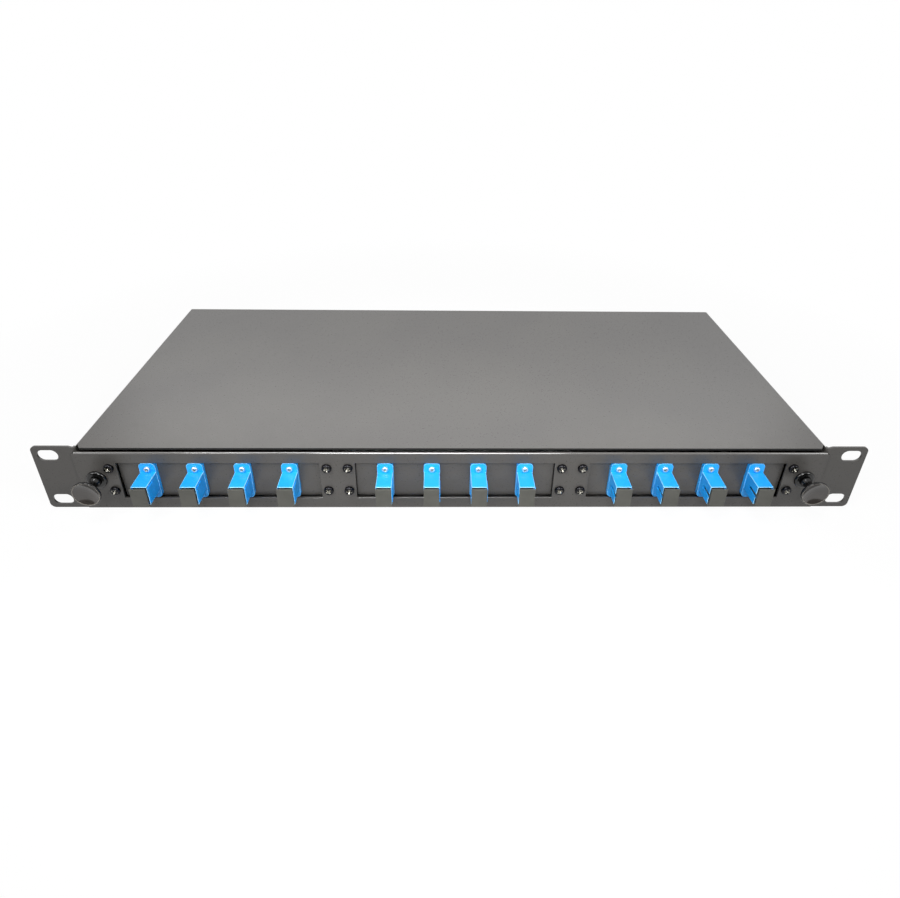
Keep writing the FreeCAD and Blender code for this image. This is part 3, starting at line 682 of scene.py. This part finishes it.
# %% Open the two mouths
MOUTH_WALL, MOUTH_DEPTH = 0.55, 4.0
SOCKET_HALF, SOCKET_DEPTH = (3.8, 4.65), 9.0
ENDS = ((FRONT_Y, 1), (REAR_Y, -1))  # each end, and the way into the tube
squeeze = [socket / (body - MOUTH_WALL) for socket, body in zip(SOCKET_HALF, BODY_HALF)]

bpy.ops.object.mode_set(mode="EDIT")
for y, inward in ENDS:
    pick_faces(housing, lambda c, n: abs(c.y - y) < CLOSE and n.y * inward < -FACING)
    bpy.ops.mesh.inset(thickness=(MOUTH_WALL - EDGE_ROUND) * MM)
    pull(y=inward * MOUTH_DEPTH)
    pull()
    bpy.ops.transform.resize(
        value=(squeeze[0], 1, squeeze[1]),
        center_override=Vector((0, y + inward * MOUTH_DEPTH, AXIS_Z)) * MM,
    )
    pull(y=inward * SOCKET_DEPTH)
bpy.ops.object.mode_set(mode="OBJECT")
print("tube with two mouths:", len(housing.data.polygons), "faces")

# %% [markdown]
# ## The flange
# The flange is a plate with round corners across the tube. Extruding it out of the tube
# would need cuts all round it, so it is a block of its own. Its four short edges are
# rounded first, then the rim of its front face, and a boolean joins it to the tube.

# %% Join the flange
FLANGE_HALF = (4.7, 12.3)
FLANGE_Y = (-1.2, 1.4)
FLANGE_ROUND, FLANGE_STEPS = 2.4, 6
FLANGE_EDGE = 0.15


def merge(piece, tool, operation):
    """Joins a tool to a piece, or cuts it out. The tool goes."""
    apply_modifier(piece, "BOOLEAN", object=tool, operation=operation, solver="EXACT")
    bpy.data.objects.remove(tool)


flange = block_on_axis("flange", FLANGE_HALF, FLANGE_Y, BLUES)
bpy.ops.object.mode_set(mode="EDIT")
pick_edges(flange, lambda a, b: abs(a.y - b.y) > CLOSE)
bpy.ops.mesh.bevel(offset=FLANGE_ROUND * MM, segments=FLANGE_STEPS, affect="EDGES")
pick_edges(flange, lambda a, b: max(a.y, b.y) < FLANGE_Y[0] + CLOSE)
# the rounded rim of the flange's front face gets the same paler blue, a painted highlight
bpy.ops.mesh.bevel(
    offset=FLANGE_EDGE * MM, segments=ROUND_STEPS, affect="EDGES", material=PAINTED_HIGHLIGHT
)
bpy.ops.object.mode_set(mode="OBJECT")
merge(housing, flange, "UNION")
print("tube with its flange:", len(housing.data.polygons), "faces")

# %% [markdown]
# ## Pad and keyways
# The photograph shows a low pad on the right side of each housing. The keyway, a slot in the
# left wall of each mouth, lets a plug in only one way round. Both are plain blocks: one is
# joined to the tube and two are cut out of it. Each block reaches a little past the wall,
# so the boolean meets no two faces in one plane. Last, the rim behind the cap is painted
# dark blue, painted shade for the groove.

# %% Add the pad and cut the keyways
PAD, PAD_LAP = 0.4, 0.3  # how far the pad stands out of the wall, and reaches into it
PAD_FRONT, PAD_BACK, PAD_EDGE = 0.5, 8.0, 1.4  # from the front, and from top and bottom
KEY_HEIGHT, KEY_LENGTH = 2.2, 9.0
KEY_LAP, KEY_OVER = 0.2, 1  # into the socket, and past the outside
RIM_BAND, RIM_FACING = 0.05, 0.98

pad = block(
    "pad",
    (BODY_HALF[0] - PAD_LAP, FRONT_Y + PAD_FRONT, AXIS_Z - BODY_HALF[1] + PAD_EDGE),
    (BODY_HALF[0] + PAD, FRONT_Y + PAD_BACK, AXIS_Z + BODY_HALF[1] - PAD_EDGE),
)
merge(housing, pad, "UNION")
for y, inward in ENDS:
    first, last = sorted((y - inward * KEY_OVER, y + inward * KEY_LENGTH))
    keyway = block(
        "keyway",
        (-BODY_HALF[0] - KEY_OVER, first, AXIS_Z - KEY_HEIGHT / 2),
        (-SOCKET_HALF[0] + KEY_LAP, last, AXIS_Z + KEY_HEIGHT / 2),
    )
    merge(housing, keyway, "DIFFERENCE")
smooth(housing)
# painted shade: the front faces of the rim get the dark blue
rim_y = (FRONT_Y + RIM_BAND) * MM
paint(housing, PAINTED_SHADE, lambda face: face.normal.y < -RIM_FACING and face.center.y < rim_y)
by_finish = [sum(f.material_index == i for f in housing.data.polygons) for i in range(3)]
print("finished housing, faces by finish:", by_finish)

# %% [markdown]
# ## Twelve housings
# The places come from the boxes of the solids. The pad sticks out to one side and moves the
# middle of such a box off the tube's axis, so half of that is taken back. Every copy has a
# mesh of its own.

# %% Set twelve housings in the plates
ADAPTERS = 12
PAD_SHIFT = (PAD + BODY_HALF[0] - FLANGE_HALF[0]) / 2


def middle_x(node):
    """The middle of a solid's box from left to right, in mm."""
    return sum(corner.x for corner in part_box(node)) / 2 / MM


def copy_to(source, name, place=(0, 0, 0)):
    """A copy with its own mesh, moved by a distance in mm."""
    piece = bpy.data.objects.new(name, source.data.copy())
    bpy.context.scene.collection.objects.link(piece)
    piece.data.transform(Matrix.Translation(Vector(place) * MM))
    return piece


adapter_xs = [middle_x(f"adapter_{i:02d}") - PAD_SHIFT for i in range(1, ADAPTERS + 1)]
for number, x in enumerate(adapter_xs, 1):
    piece = copy_to(housing, f"adapter_housing_{number:02d}", (x, 0, 0))
    finish_piece(piece, blue_abs, f"adapter_{number:02d}")
bpy.data.objects.remove(housing)
print("housings at x =", [round(x, 1) for x in adapter_xs])

# %% [markdown]
# ## Dust caps
# A cap is a plate on a plug. The plate is as large as the housing and stands a little off
# it, and the dark groove between gives a fingernail its hold. It starts as a block for the
# plate: the back face is squeezed and pulled into the socket for the plug, and all edges
# are rounded, since soft plastic never leaves the mould with sharp ones.

# %% Model one cap and copy it
cap_low, cap_high = box_of("dust_cap_01")
CAP_PLATE, CAP_ROUND = 0.8, 0.22
PLUG_HALF = (3.6, 4.45)
plate_back = cap_low.y + CAP_PLATE

cap = block_on_axis("cap", BODY_HALF, (cap_low.y, plate_back))
bpy.ops.object.mode_set(mode="EDIT")
pick_faces(cap, lambda c, n: n.y > FACING)
pull()
bpy.ops.transform.resize(
    value=(PLUG_HALF[0] / BODY_HALF[0], 1, PLUG_HALF[1] / BODY_HALF[1]),
    center_override=Vector((0, plate_back, AXIS_Z)) * MM,
)
pull(y=cap_high.y - plate_back)
bpy.ops.object.mode_set(mode="OBJECT")
break_edges(cap, CAP_ROUND * MM, 3)
for number, x in enumerate(adapter_xs, 1):
    piece = copy_to(cap, f"dust_cap_front_{number:02d}", (x, 0, 0))
    finish_piece(piece, grey_cap, f"dust_cap_{number:02d}")
print("cap plate", [2 * v for v in BODY_HALF], "mm")

# %% [markdown]
# ## Caps at the back
# The same caps close the rear ends inside the drawer. Half a turn about the middle of the
# housing brings the cap there. All twelve are one solid in the frame, so the copies are
# joined to one piece.

# %% Turn the same cap round for the back
def join(pieces, name):
    """Joins pieces to one, under a new name."""
    make_active(pieces[0])
    for piece in pieces:
        piece.select_set(True)
    bpy.ops.object.join()
    pieces[0].name = name
    return pieces[0]


def joined_copies(source, places, name):
    """Copies of a piece at places in mm, joined to one. The source goes."""
    copies = [copy_to(source, f"{name}_{i}", place) for i, place in enumerate(places)]
    bpy.data.objects.remove(source)
    return join(copies, name)


half_turn = Matrix.Diagonal((-1, -1, 1, 1))
cap.data.transform(Matrix.Translation((0, (FRONT_Y + REAR_Y) * MM, 0)) @ half_turn)
rear_caps = joined_copies(cap, [(x, 0, 0) for x in adapter_xs], "dust_caps_rear")
finish_piece(rear_caps, grey_cap, "rear_dust_caps")
print("rear caps:", len(rear_caps.data.polygons), "faces")

# %% [markdown]
# ## Screws with a cross recess
# Every screw that shows is a pan head with a cross recess. One head is modelled at the
# origin, looking to the front: a short round bar whose rim is rounded in several steps and
# whose recess is cut by two crossed wedges. The faces of the recess get the second finish.

# %% Helpers for the head and its recess
HEAD = (2.9, 1.9)  # radius and height of the larger head
ARM_HALF = (1.95, 0.52)  # half the length and half the width of an arm of the recess
ARM_OVER, ARM_DEPTH = 0.5, 1.3  # above the head and down into it
ARM_TAPER = (0.35, 1, 0.6)


def bar_along_y(name, sides, radius, ends):
    """A bar with a number of sides, between two ends in mm."""
    bpy.ops.object.select_all(action="DESELECT")
    bpy.ops.mesh.primitive_cylinder_add(
        vertices=sides, radius=radius * MM, depth=(ends[1] - ends[0]) * MM,
        location=(0, (ends[0] + ends[1]) / 2 * MM, 0), rotation=(math.pi / 2, 0, 0),
    )
    piece = bpy.context.object
    piece.name = name
    bpy.ops.object.transform_apply(location=True, rotation=True, scale=True)
    return piece


def cross_wedge(name, turn):
    """One arm of the recess: a bar that narrows downwards."""
    top, bottom = -HEAD[1] - ARM_OVER, -HEAD[1] + ARM_DEPTH
    wedge = block(name, (-ARM_HALF[0], top, -ARM_HALF[1]), (ARM_HALF[0], bottom, ARM_HALF[1]))
    bpy.ops.object.mode_set(mode="EDIT")
    pick_faces(wedge, lambda c, n: n.y > FACING)
    bpy.ops.transform.resize(value=ARM_TAPER, center_override=(0, bottom * MM, 0))
    bpy.ops.object.mode_set(mode="OBJECT")
    wedge.data.transform(Matrix.Rotation(turn, 4, "Y"))
    return wedge


print("recess", 2 * ARM_HALF[0], "mm across and", ARM_DEPTH, "mm deep")

# %% Model one screw head
HEAD_SIDES = 40
HEAD_ROUND, HEAD_STEPS = 1.1, 6
RECESS_BREAK = 0.08
RECESS_RADIUS, RECESS_TOP = 1.8, 0.03

screw = bar_along_y("screw", HEAD_SIDES, HEAD[0], (-HEAD[1], 0))
bpy.ops.object.mode_set(mode="EDIT")
pick_edges(screw, lambda a, b: max(a.y, b.y) < -HEAD[1] + CLOSE)
bpy.ops.mesh.bevel(offset=HEAD_ROUND * MM, segments=HEAD_STEPS, affect="EDGES")
bpy.ops.object.mode_set(mode="OBJECT")
for name, turn in (("arm_across", 0.0), ("arm_up", math.pi / 2)):
    merge(screw, cross_wedge(name, turn), "DIFFERENCE")
break_edges(screw, RECESS_BREAK * MM, 1)


def in_recess(face):
    """True for faces near the axis that lie below the top of the head."""
    near_axis = math.hypot(face.center.x, face.center.z) < RECESS_RADIUS * MM
    return near_axis and face.center.y > (RECESS_TOP - HEAD[1]) * MM


print("faces in the recess:", paint(screw, 1, in_recess), "of", len(screw.data.polygons))

# %% [markdown]
# ## Rows of screws
# The head is scaled to each size, turned to the face that it sits on and copied. No two
# screws end at the same angle, so each copy also has its own turn. The screws of one kind
# are one solid in the frame and are joined to one piece.

# %% Helper that sets a row of screws
FIRST_TURN, NEXT_TURN = 0.4, 1.9  # in radians


def screw_row(name, places, head_size, towards, finishes, node):
    """Copies of the head, scaled to a size and turned to a direction, joined to one piece."""
    wider, higher = head_size[0] / HEAD[0], head_size[1] / HEAD[1]
    size = Matrix.Diagonal((wider, higher, wider, 1))
    heads = []
    for i, (place, direction) in enumerate(zip(places, towards)):
        head = copy_to(screw, f"{name}_{i}")
        facing = Vector((0, -1, 0)).rotation_difference(Vector(direction)).to_matrix().to_4x4()
        own_turn = Matrix.Rotation(FIRST_TURN + NEXT_TURN * i, 4, "Y")
        head.data.transform(Matrix.Translation(Vector(place) * MM) @ facing @ own_turn @ size)
        for finish in finishes:
            head.data.materials.append(finish)
        heads.append(head)
    finish_piece(join(heads, name), finishes[0], node)
    print(name, len(places))


BLACK, SILVER = (black_zinc, bare_steel), (nickel, nickel_painted_recess_shade)
TO_FRONT, TO_BACK, TO_TOP = (0, -1, 0), (0, 1, 0), (0, 0, 1)
TO_LEFT, TO_RIGHT = (-1, 0, 0), (1, 0, 0)
print("head and recess:", [[finish.name for finish in pair] for pair in (BLACK, SILVER)])

# %% Set the screws of the front
PANEL_Y = -1.4
PLATE_XS = (-137, 0, 137)
PLATE_DX, PLATE_DZ = 62.4, 8.1  # from the middle of a plate to its screws
FLANGE_DZ = 8.4
FLANGE_HEAD = (1.8, 1.3)

plate_places = [
    (x + dx, PANEL_Y, z)
    for x in PLATE_XS for dx in (-PLATE_DX, PLATE_DX) for z in (-PLATE_DZ, PLATE_DZ)
]
screw_row(
    "plate_screw_heads", plate_places, HEAD, [TO_FRONT] * len(plate_places),
    BLACK, "plate_screws",
)
flange_places = [
    (x, FLANGE_Y[0], AXIS_Z + dz) for x in adapter_xs for dz in (-FLANGE_DZ, FLANGE_DZ)
]
screw_row(
    "flange_screw_heads", flange_places, FLANGE_HEAD, [TO_FRONT] * len(flange_places),
    SILVER, "flange_screws",
)
print("screws on the front:", len(plate_places) + len(flange_places))

# %% Set the screws of the floor and the splice tray
WALL_X, BACK_Y = 217.5, 200.0
WALL_SCREW_YS, WALL_SCREW_Z = (25, 100, 175), -15.3
BACK_SCREW_XS, BACK_SCREW_Z = (-75, 75), -16.95

floor_places = [(side * WALL_X, y, WALL_SCREW_Z) for y in WALL_SCREW_YS for side in (-1, 1)]
floor_places += [(x, BACK_Y, BACK_SCREW_Z) for x in BACK_SCREW_XS]
screw_row(
    "floor_screw_heads", floor_places, HEAD, [TO_LEFT, TO_RIGHT] * 3 + [TO_BACK] * 2,
    BLACK, "floor_screws",
)
lid_low, lid_high = box_of("splice_tray_screws")
lid_places = [(0, y, lid_low.z) for y in (lid_low.y + HEAD[0], lid_high.y - HEAD[0])]
screw_row(
    "splice_screw_heads", lid_places, HEAD, [TO_TOP] * 2,
    BLACK, "splice_tray_screws",
)
bpy.data.objects.remove(screw)
print("screws elsewhere:", len(floor_places) + len(lid_places))

# %% [markdown]
# ## Push-pull latches
# The latch is a nylon rivet that can be drawn: a collar that sits on the panel, and a
# plunger with a waisted neck and a dished head to pull by. Turned parts are drawn as half an
# outline and spun round their axis. A single point is pulled along the outline, and spin
# makes the round form.

# %% Spin helper
STEPS = 56
SPIN_SEAM = 0.002 * MM


def turned(name, outline, y, closed=False):
    """Spins an outline of (radius, distance to the front of y) in mm round the Y axis."""
    centre = Vector((0, y, 0)) * MM
    points = [centre + Vector((radius, -distance, 0)) * MM for radius, distance in outline]
    bpy.ops.object.select_all(action="DESELECT")
    bpy.ops.mesh.primitive_plane_add(size=MM, location=points[0])
    piece = bpy.context.object
    piece.name = name
    bpy.ops.object.transform_apply(location=True)
    bpy.ops.object.mode_set(mode="EDIT")
    bpy.ops.mesh.select_mode(type="VERT")
    bpy.ops.mesh.select_all(action="SELECT")
    bpy.ops.mesh.merge(type="CENTER")
    for start, end in zip(points, points[1:] + points[:1] * closed):
        bpy.ops.mesh.extrude_region_move(TRANSFORM_OT_translate={"value": end - start})
    bpy.ops.mesh.select_all(action="SELECT")
    bpy.ops.mesh.spin(steps=STEPS, angle=2 * math.pi, center=centre, axis=(0, 1, 0))
    bpy.ops.mesh.select_all(action="SELECT")
    bpy.ops.mesh.remove_doubles(threshold=SPIN_SEAM)
    bpy.ops.mesh.normals_make_consistent(inside=False)
    bpy.ops.object.mode_set(mode="OBJECT")
    bpy.ops.object.shade_smooth_by_angle(angle=SMOOTH_ANGLE)
    print(name, len(piece.data.polygons), "faces")
    return piece


print("a turned piece has", STEPS, "steps round its axis")

# %% Plungers
LATCH_X = middle_x("latch_plunger_right")
TAIL = PANEL_Y - box_of("latch_plunger_right")[1].y
DISH_RADIUS, RIM_RADIUS = 7.35, 7.8
DISH_FRONT = 11.8  # the dish lies further to the front than this
PLUNGER = [
    (0, TAIL), (1.5, TAIL), (1.8, TAIL + 0.3), (1.8, 2.3),  # shank
    (2.8, 2.3), (3.15, 2.5), (3.3, 2.9), (3.25, 3.4), (3.05, 3.85),  # bead on the collar
    (2.75, 4.35), (2.5, 4.95), (2.36, 5.7), (2.32, 6.6), (2.4, 7.8), (2.7, 8.9),  # waist
    (3.3, 9.9), (4.2, 10.7), (5.3, 11.4), (6.5, 12.0), (7.5, 12.45),  # back of the head
    (8.0, 12.8), (8.18, 13.2), (8.2, 13.6), (8.12, 13.95), (7.95, 14.13),  # rim
    (7.7, 14.2), (7.45, 14.17), (7.3, 14.08), (6.8, 13.82), (6.2, 13.5), (5.4, 13.13),  # dish
    (4.5, 12.77), (3.5, 12.44), (2.4, 12.18), (1.2, 12.01), (0, 11.95),
]


def within(face, smallest, largest):
    """True for faces of the knob's front whose distance from its axis lies in a range."""
    distance = math.hypot(face.center.x, face.center.z) / MM
    on_front = face.normal.y < -0.3 and face.center.y / MM < PANEL_Y - DISH_FRONT
    return on_front and smallest <= distance < largest


knob = turned("latch_knob", PLUNGER, PANEL_Y)
for finish in (gloss_nylon, knob_painted_reflection, knob_painted_rim_highlight):
    knob.data.materials.append(finish)
# the dish is painted grey, a painted reflection
paint(knob, 1, lambda face: within(face, 0, DISH_RADIUS))
# the rim is painted paler, a painted highlight
paint(knob, 2, lambda face: within(face, DISH_RADIUS, RIM_RADIUS))
for side, name in ((-1, "left"), (1, "right")):
    plunger = copy_to(knob, f"latch_knob_{name}", (side * LATCH_X, 0, 0))
    finish_piece(plunger, gloss_nylon, f"latch_plunger_{name}")
bpy.data.objects.remove(knob)
print("latches at x = +-", round(LATCH_X, 1))

# %% Collars
COLLAR = [
    (1.85, TAIL), (2.9, TAIL), (3.2, TAIL + 0.5), (3.2, 0),  # split legs, drawn as a tube
    (5.5, 0), (5.8, 0.15), (5.9, 0.5), (5.85, 1.0), (5.55, 1.5), (5.0, 1.85),  # lip
    (4.3, 2.0), (2.2, 2.0), (1.85, 1.8),
]
collar = turned("collar", COLLAR, PANEL_Y, closed=True)
collars = joined_copies(collar, [(-LATCH_X, 0, 0), (LATCH_X, 0, 0)], "latch_collars")
finish_piece(collars, gloss_nylon, "latch_grommets")
print("collars:", len(collars.data.polygons), "faces")

# %% [markdown]
# ## Cable bushings at the back
# Two rubber bushings line the round entries in the back wall, so that the sheet cannot cut
# a cable. Each is a turned ring with a soft, rounded lip outside and a neck through the wall.

# %% Bushings
LIP_RADIUS = 15.5
bushing_low, bushing_high = box_of("cable_bushings")
ENTRY_X = bushing_high.x - LIP_RADIUS
# distances to the front of the wall's outer face, so that the lip's are negative
LIP, NECK = BACK_Y - bushing_high.y, BACK_Y - bushing_low.y
BUSHING = [
    (10.5, NECK - 0.4), (10.9, NECK), (11.9, NECK), (12.3, NECK - 0.5), (12.3, 0),  # neck
    (15.0, 0), (15.4, -0.3), (LIP_RADIUS, -1.0), (15.2, -2.0), (14.4, LIP + 0.4),  # lip
    (13.2, LIP), (11.6, LIP), (10.8, LIP + 0.4), (10.5, LIP + 1.2),
]
ring = turned("bushing", BUSHING, BACK_Y, closed=True)
bushings = joined_copies(ring, [(-ENTRY_X, 0, 0), (ENTRY_X, 0, 0)], "cable_bushing_rings")
finish_piece(bushings, rubber, "cable_bushings")
print("bushings at x = +-", round(ENTRY_X, 1))

# %% [markdown]
# ## Standoffs behind the panel
# The feet of each plate are held off the panel by hexagonal standoffs, seen once the drawer
# is pulled. Each is a six-sided bar: its two ends are inset and drawn out a little, which
# leaves the turned shoulder of a real standoff, and its edges are broken.

# %% Standoffs
ACROSS, SHOULDER, SHOULDER_INSET = 5.5, 0.35, 0.45
BAR_BREAK = 0.12
bar_low, bar_high = box_of("plate_standoffs")
corner_radius = ACROSS / 2 / math.cos(math.pi / 6)

bar = bar_along_y("bar", 6, corner_radius, (bar_low.y + SHOULDER, bar_high.y - SHOULDER))
bpy.ops.object.mode_set(mode="EDIT")
for end in (-1, 1):
    pick_faces(bar, lambda c, n: n.y * end > FACING)
    bpy.ops.mesh.inset(thickness=SHOULDER_INSET * MM)
    pull(y=end * SHOULDER)
bpy.ops.object.mode_set(mode="OBJECT")
break_edges(bar, BAR_BREAK * MM)
bars = joined_copies(bar, [(x, 0, z) for x, _, z in plate_places], "plate_hex_standoffs")
# the standoffs get the darkened nickel, painted shade for the gap behind the panel
finish_piece(bars, standoff_painted_shade, "plate_standoffs")
print("standoffs:", len(bars.data.polygons), "faces")

# %% [markdown]
# ## Splice tray and fibre clips
# The pieces inside the drawer are moulded, so their edges are rounder than those of sheet
# metal. Their solids already have the right shape. Copying them and breaking their edges,
# as for the sheets but with a wider bevel, finishes them.

# %% Round the moulded pieces
MOULD_ROUND = 0.3 * MM
for node in ("splice_tray", "splice_tray_lid"):
    edged_copy(node, "moulded", MOULD_ROUND, tray_abs)
for node in [name for name in nodes if name.startswith("fibre_clip")]:
    edged_copy(node, "moulded", MOULD_ROUND, clip_nylon)
undressed = [name for name, solid in nodes.items() if not solid.hide_render]
print("solids without a dressed piece:", undressed)
